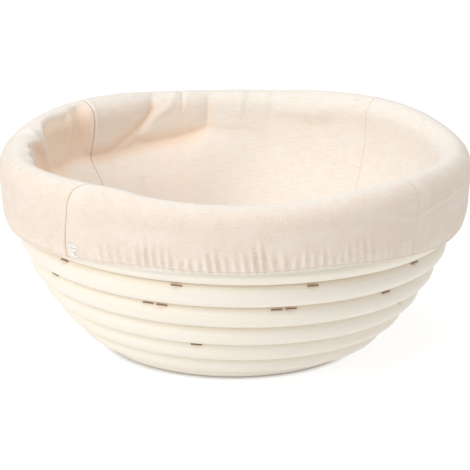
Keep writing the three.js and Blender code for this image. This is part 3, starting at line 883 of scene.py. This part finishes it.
def casing_points(columns):
    """The turned-up hem, from behind the skirt's edge, down round the fold and up inside."""
    edge = liner_points[-1, columns]
    down = edge - liner_points[-1 - HEM_DIRECTION_ROWS, columns]
    down = down / np.linalg.norm(down, axis=1)[:, None]
    away = outwards(liner_bearing[0, columns])
    inwards = -(away - down * (away * down).sum(1)[:, None])
    section = [(-CASING_LAP, BEHIND_SKIRT), (-CASING_LAP / 2, BEHIND_SKIRT * 0.9), (0, BEHIND_SKIRT * 0.5)]
    for turn in np.linspace(0, np.pi, CASING_FOLD_STEPS):
        section.append((CASING_FOLD * math.sin(turn) + CASING_DROP, CASING_FOLD * (1 - math.cos(turn))))
    for share in np.linspace(0.1, 1, CASING_RISE_STEPS):
        section.append((-CASING_RISE * share, 2 * CASING_FOLD + CASING_GAP))
    return np.stack([edge + down * lower + inwards * deeper for lower, deeper in section])


for index, side in enumerate(GORE_NAMES):
    points = casing_points(gore_columns(index))
    along = running_length(points[:, 0])
    across = across_gore(index, liner_line[-1, 0])
    uv = np.stack(np.broadcast_arrays(across[None, :], along[:, None]), -1)
    plain = np.zeros(points.shape[:2])
    casing = cloth_piece("cotton_casing_" + side, points, uv, plain, plain)
    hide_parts("hem_casing_" + side)

# The elastic
# One flat band of knitted rubber, closed in a ring inside the four casings.
# It draws the hem in under the rim.
ELASTIC_WIDTH = 0.006
ELASTIC_THICKNESS = 0.0006
ELASTIC_HEIGHT = 0.0625
ELASTIC_SIDES = 240
ELASTIC_WHITE = (240, 238, 230)
KNIT_TINT = 0.4
KNIT_MARKS = (1500, 1500, 700)
KNIT_DEPTH = 0.0002


def make_elastic():
    bpy.ops.object.select_all(action="DESELECT")
    bpy.ops.mesh.primitive_cylinder_add(
        vertices=ELASTIC_SIDES,
        radius=liner_line[-1, 0] - CASING_FOLD,
        depth=ELASTIC_WIDTH,
        end_fill_type="NOTHING",
        location=(0, 0, ELASTIC_HEIGHT),
    )
    band = bpy.context.object
    band.name = "elastic_band"
    bpy.ops.object.transform_apply(location=True)
    bpy.ops.object.modifier_add(type="SOLIDIFY")
    band.modifiers[-1].thickness = ELASTIC_THICKNESS
    bpy.ops.object.modifier_apply(modifier=band.modifiers[-1].name)
    bpy.ops.object.shade_smooth_by_angle(angle=SMOOTH_ANGLE)
    return band


def elastic_finish():
    finish = Finish(bpy.data.materials.new("knitted_elastic"), {"Specular IOR Level": 0.2})
    knit = finish.noise(finish.node("TexCoord", {}, output="Object"), KNIT_MARKS)
    colour = finish.mix(knit.rise(0.3, 0.7) * KNIT_TINT, tint(ELASTIC_WHITE), tint(CLOTH_TAN))
    finish.show(colour, 0.75 + 0.1 * knit, knit, KNIT_DEPTH)
    return finish.owner


elastic = make_elastic()
elastic.data.materials.append(elastic_finish())
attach(elastic, "liner")
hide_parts("hem_elastic")

# The sewing thread
# Beige or cream thread lies in the seams between the gores, and a row of cream stitches round the skirt
# holds the casing. A white bar tack, to and fro across the cloth, ends the front left seam at the hem.
THREAD_RADIUS = 0.00013
SEAM_STITCH = 0.0026
HEM_STITCH = 0.0029
STITCH_SHARE = 0.8
STITCH_SIDES = 6
STITCH_ROUNDING = 0.6
DIRECTION_STEP = 1e-4
HEM_STITCH_RISE = 0.0078
SEAM_FIRST_ROW = 6
CREAM_SEAMS = ("back", "right")
TACK_RADIUS = 0.00021
TACK_STITCHES = 15
# The tack's place beside the seam, its width and its height, in columns and rows of the liner's face.
TACK_PLACE = 3
TACK_COLUMNS = 7
TACK_ROWS = 12
SEAM_THREAD = (222, 196, 168)
HEM_THREAD = (248, 236, 223)
TACK_THREAD = (255, 253, 250)
TWIST_TINT = 0.4
TWIST_MARKS = (2500, 2500, 2500)
TWIST_DEPTH = 0.0001


def make_stitch(length, radius):
    """One stitch along X, its ends rounded down."""
    bpy.ops.object.select_all(action="DESELECT")
    bpy.ops.mesh.primitive_cylinder_add(
        vertices=STITCH_SIDES, radius=radius, depth=length, rotation=(0, math.pi / 2, 0)
    )
    stitch = bpy.context.object
    bpy.ops.object.transform_apply(rotation=True)
    alone(stitch, "EDIT")
    bpy.ops.mesh.select_mode(type="FACE")
    bpy.ops.mesh.select_all(action="DESELECT")
    bpy.ops.object.mode_set(mode="OBJECT")
    for face in stitch.data.polygons:
        face.select = abs(face.normal.x) > 0.9
    bpy.ops.object.mode_set(mode="EDIT")
    bpy.ops.mesh.bevel(offset=radius * STITCH_ROUNDING, segments=1, affect="EDGES")
    bpy.ops.object.mode_set(mode="OBJECT")
    return stitch


def thread_finish(name, colour):
    finish = Finish(bpy.data.materials.new(name), {"Specular IOR Level": 0.2})
    twist = finish.noise(finish.node("TexCoord", {}, output="Object"), TWIST_MARKS)
    shade = finish.mix(twist.rise(0.35, 0.7) * TWIST_TINT, tint(colour), tint(CLOTH_TAN))
    finish.show(shade, 0.7 + 0.2 * twist, twist, TWIST_DEPTH)
    return finish.owner


def row_of_stitches(name, line, away, pattern, spacing, material):
    """Copies of a stitch along a line of points, joined in one piece, each half sunk into the cloth."""
    length = running_length(line)
    local = np.array([point.co for point in pattern.data.vertices])
    shape = [list(face.vertices) for face in pattern.data.polygons]

    def at(place, values):
        return np.array([np.interp(place, length, part) for part in values.T])

    points, faces = [], []
    for middle in np.arange(spacing / 2, length[-1] - spacing / 2, spacing):
        here = at(middle, line)
        forward = at(middle + DIRECTION_STEP, line) - here
        forward = forward / np.linalg.norm(forward)
        side = np.cross(at(middle, away), forward)
        faces += [[len(points) + corner for corner in face] for face in shape]
        points += list(here + local @ np.stack([forward, side, np.cross(forward, side)]))
    mesh = bpy.data.meshes.new(name)
    mesh.from_pydata(points, [], faces)
    mesh.polygons.foreach_set("use_smooth", [True] * len(mesh.polygons))
    mesh.materials.append(material)
    piece = bpy.data.objects.new(name, mesh)
    bpy.context.scene.collection.objects.link(piece)
    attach(piece, "liner")
    return piece


def make_bar_tack(material):
    """Stitches to and fro beside the foot of the front left seam, from the hem up."""
    steps = np.arange(TACK_STITCHES + 1)
    column = GORE_NAMES.index("front") * GORE_COLUMNS + TACK_PLACE + np.where(steps % 2, TACK_COLUMNS, 0)
    row = len(liner_rows) - 1 - np.round(steps / TACK_STITCHES * TACK_ROWS).astype(int)
    away = outwards(liner_bearing[0, column])
    line = liner_points[row, column] + away * TACK_RADIUS
    length = running_length(line)
    pattern = make_stitch(float(np.diff(length).mean()), TACK_RADIUS)
    tack = row_of_stitches("bar_tack", line, away, pattern, length[-1] / TACK_STITCHES, material)
    bpy.data.objects.remove(pattern)
    return tack


seam_pattern = make_stitch(SEAM_STITCH * STITCH_SHARE, THREAD_RADIUS)
hem_pattern = make_stitch(HEM_STITCH * STITCH_SHARE, THREAD_RADIUS)
beige_thread = thread_finish("seam_thread", SEAM_THREAD)
cream_thread = thread_finish("hem_thread", HEM_THREAD)
stitch_row = np.argmin(np.abs(liner_rows - (liner_rows[-1] - HEM_STITCH_RISE)))
threads = []
for index, side in enumerate(GORE_NAMES):
    column = index * GORE_COLUMNS
    line = liner_points[SEAM_FIRST_ROW:, column]
    around = np.cross(UP, outwards(np.array(liner_bearing[0, column])))
    away = np.cross(around, np.gradient(line, axis=0))
    away = away / np.linalg.norm(away, axis=1)[:, None]
    thread = cream_thread if side in CREAM_SEAMS else beige_thread
    seam = row_of_stitches("seam_stitches_" + side, line, away, seam_pattern, SEAM_STITCH, thread)
    line = liner_points[stitch_row, gore_columns(index)]
    away = outwards(liner_bearing[0, gore_columns(index)])
    hem = row_of_stitches("hem_stitches_" + side, line, away, hem_pattern, HEM_STITCH, cream_thread)
    threads.append([seam, hem])
bpy.data.objects.remove(seam_pattern)
bpy.data.objects.remove(hem_pattern)
threads[GORE_NAMES.index("front")].append(make_bar_tack(thread_finish("tack_thread", TACK_THREAD)))

# The setting
# A white floor and sky under soft light from the front left and from above, and the photograph's camera:
# low and far away. The floor glows white for the camera, and at a smaller share onto the object as
# painted bounce light; close under the base an occlusion node dims the glow, a painted contact shadow.
FLOOR_SIZE = 6
FLOOR_GREY = (0.86, 0.86, 0.86, 1)
WHITE = (1, 1, 1, 1)
FLOOR_GLOW = 1.22
FLOOR_GLOW_SHARE = 0.66
FLOOR_BOUNCE_SHARE = 0.42
CONTACT_REACH = 0.0024
SKY_LIGHT = 0.5
# The lamps: place, size and power.
KEY_LAMP = ((-1.25, -1.15, 1.0), 1.1, 15.1)
TOP_LAMP = ((0.1, -0.1, 1.8), 1.2, 11.3)
LAMP_AIM = Vector((0, 0, 0.05))
CAMERA_AIM = Vector((0, 0, 0.0835))
CAMERA_DISTANCE = 1.152
CAMERA_ELEVATION = math.radians(15.4)
CAMERA_TILT = math.radians(1.78)
CAMERA_LENS = 204
CAMERA_SENSOR = 36
CAMERA_REACH = 10


def in_view(finish):
    """One for rays that the camera sees straight, mirrored or through something, nought for the rest."""
    kinds = ("Is Camera Ray", "Is Glossy Ray", "Is Transmission Ray")
    camera, glossy, through = (finish.node("LightPath", {}, output=kind) for kind in kinds)
    return camera + glossy + through


bpy.ops.object.select_all(action="DESELECT")
bpy.ops.mesh.primitive_plane_add(size=FLOOR_SIZE)
floor = bpy.context.object
floor.name = "floor"
paper = Finish(bpy.data.materials.new("white_floor"), {"Roughness": 0.9, "Base Color": FLOOR_GREY})
glow = paper.node("Emission", {"Color": WHITE, "Strength": FLOOR_GLOW})
lit = Wire(paper, paper.shader.outputs[0])
# Painted contact shadow: occlusion under the base takes the floor's glow away.
contact_shade_ao = paper.node("AmbientOcclusion", {"Distance": CONTACT_REACH}, output="AO")
share = contact_shade_ao * (FLOOR_BOUNCE_SHARE + in_view(paper) * (FLOOR_GLOW_SHARE - FLOOR_BOUNCE_SHARE))
shown = paper.node("MixShader", {0: share, 1: lit, 2: glow})
paper.plug(paper.tree.nodes["Material Output"].inputs["Surface"], shown)
floor.data.materials.append(paper.owner)

sky = Finish(bpy.data.worlds.new("studio"), {"Color": WHITE, "Strength": SKY_LIGHT})
white = sky.node("Background", {"Color": WHITE, "Strength": 1.0})
shown = sky.node("MixShader", {0: in_view(sky), 1: Wire(sky, sky.shader.outputs[0]), 2: white})
sky.plug(sky.tree.nodes["World Output"].inputs["Surface"], shown)
bpy.context.scene.world = sky.owner


def add_softbox(name, place, size, power):
    lamp = bpy.data.lights.new(name, "AREA")
    lamp.size = size
    lamp.energy = power
    box = bpy.data.objects.new(name, lamp)
    box.location = place
    box.rotation_euler = (LAMP_AIM - Vector(place)).to_track_quat("-Z", "Y").to_euler()
    bpy.context.scene.collection.objects.link(box)


add_softbox("key", *KEY_LAMP)
add_softbox("top", *TOP_LAMP)

camera = bpy.data.objects.new("camera", bpy.data.cameras.new("camera"))
bpy.context.scene.collection.objects.link(camera)
camera.data.lens = CAMERA_LENS
camera.data.sensor_width = CAMERA_SENSOR
camera.data.clip_end = CAMERA_REACH
back = Vector((0, -math.cos(CAMERA_ELEVATION), math.sin(CAMERA_ELEVATION)))
camera.location = CAMERA_AIM + back * CAMERA_DISTANCE
camera.rotation_euler = (math.pi / 2 - CAMERA_ELEVATION - CAMERA_TILT, 0, 0)
bpy.context.scene.camera = camera
bpy.context.scene.view_settings.view_transform = "Standard"
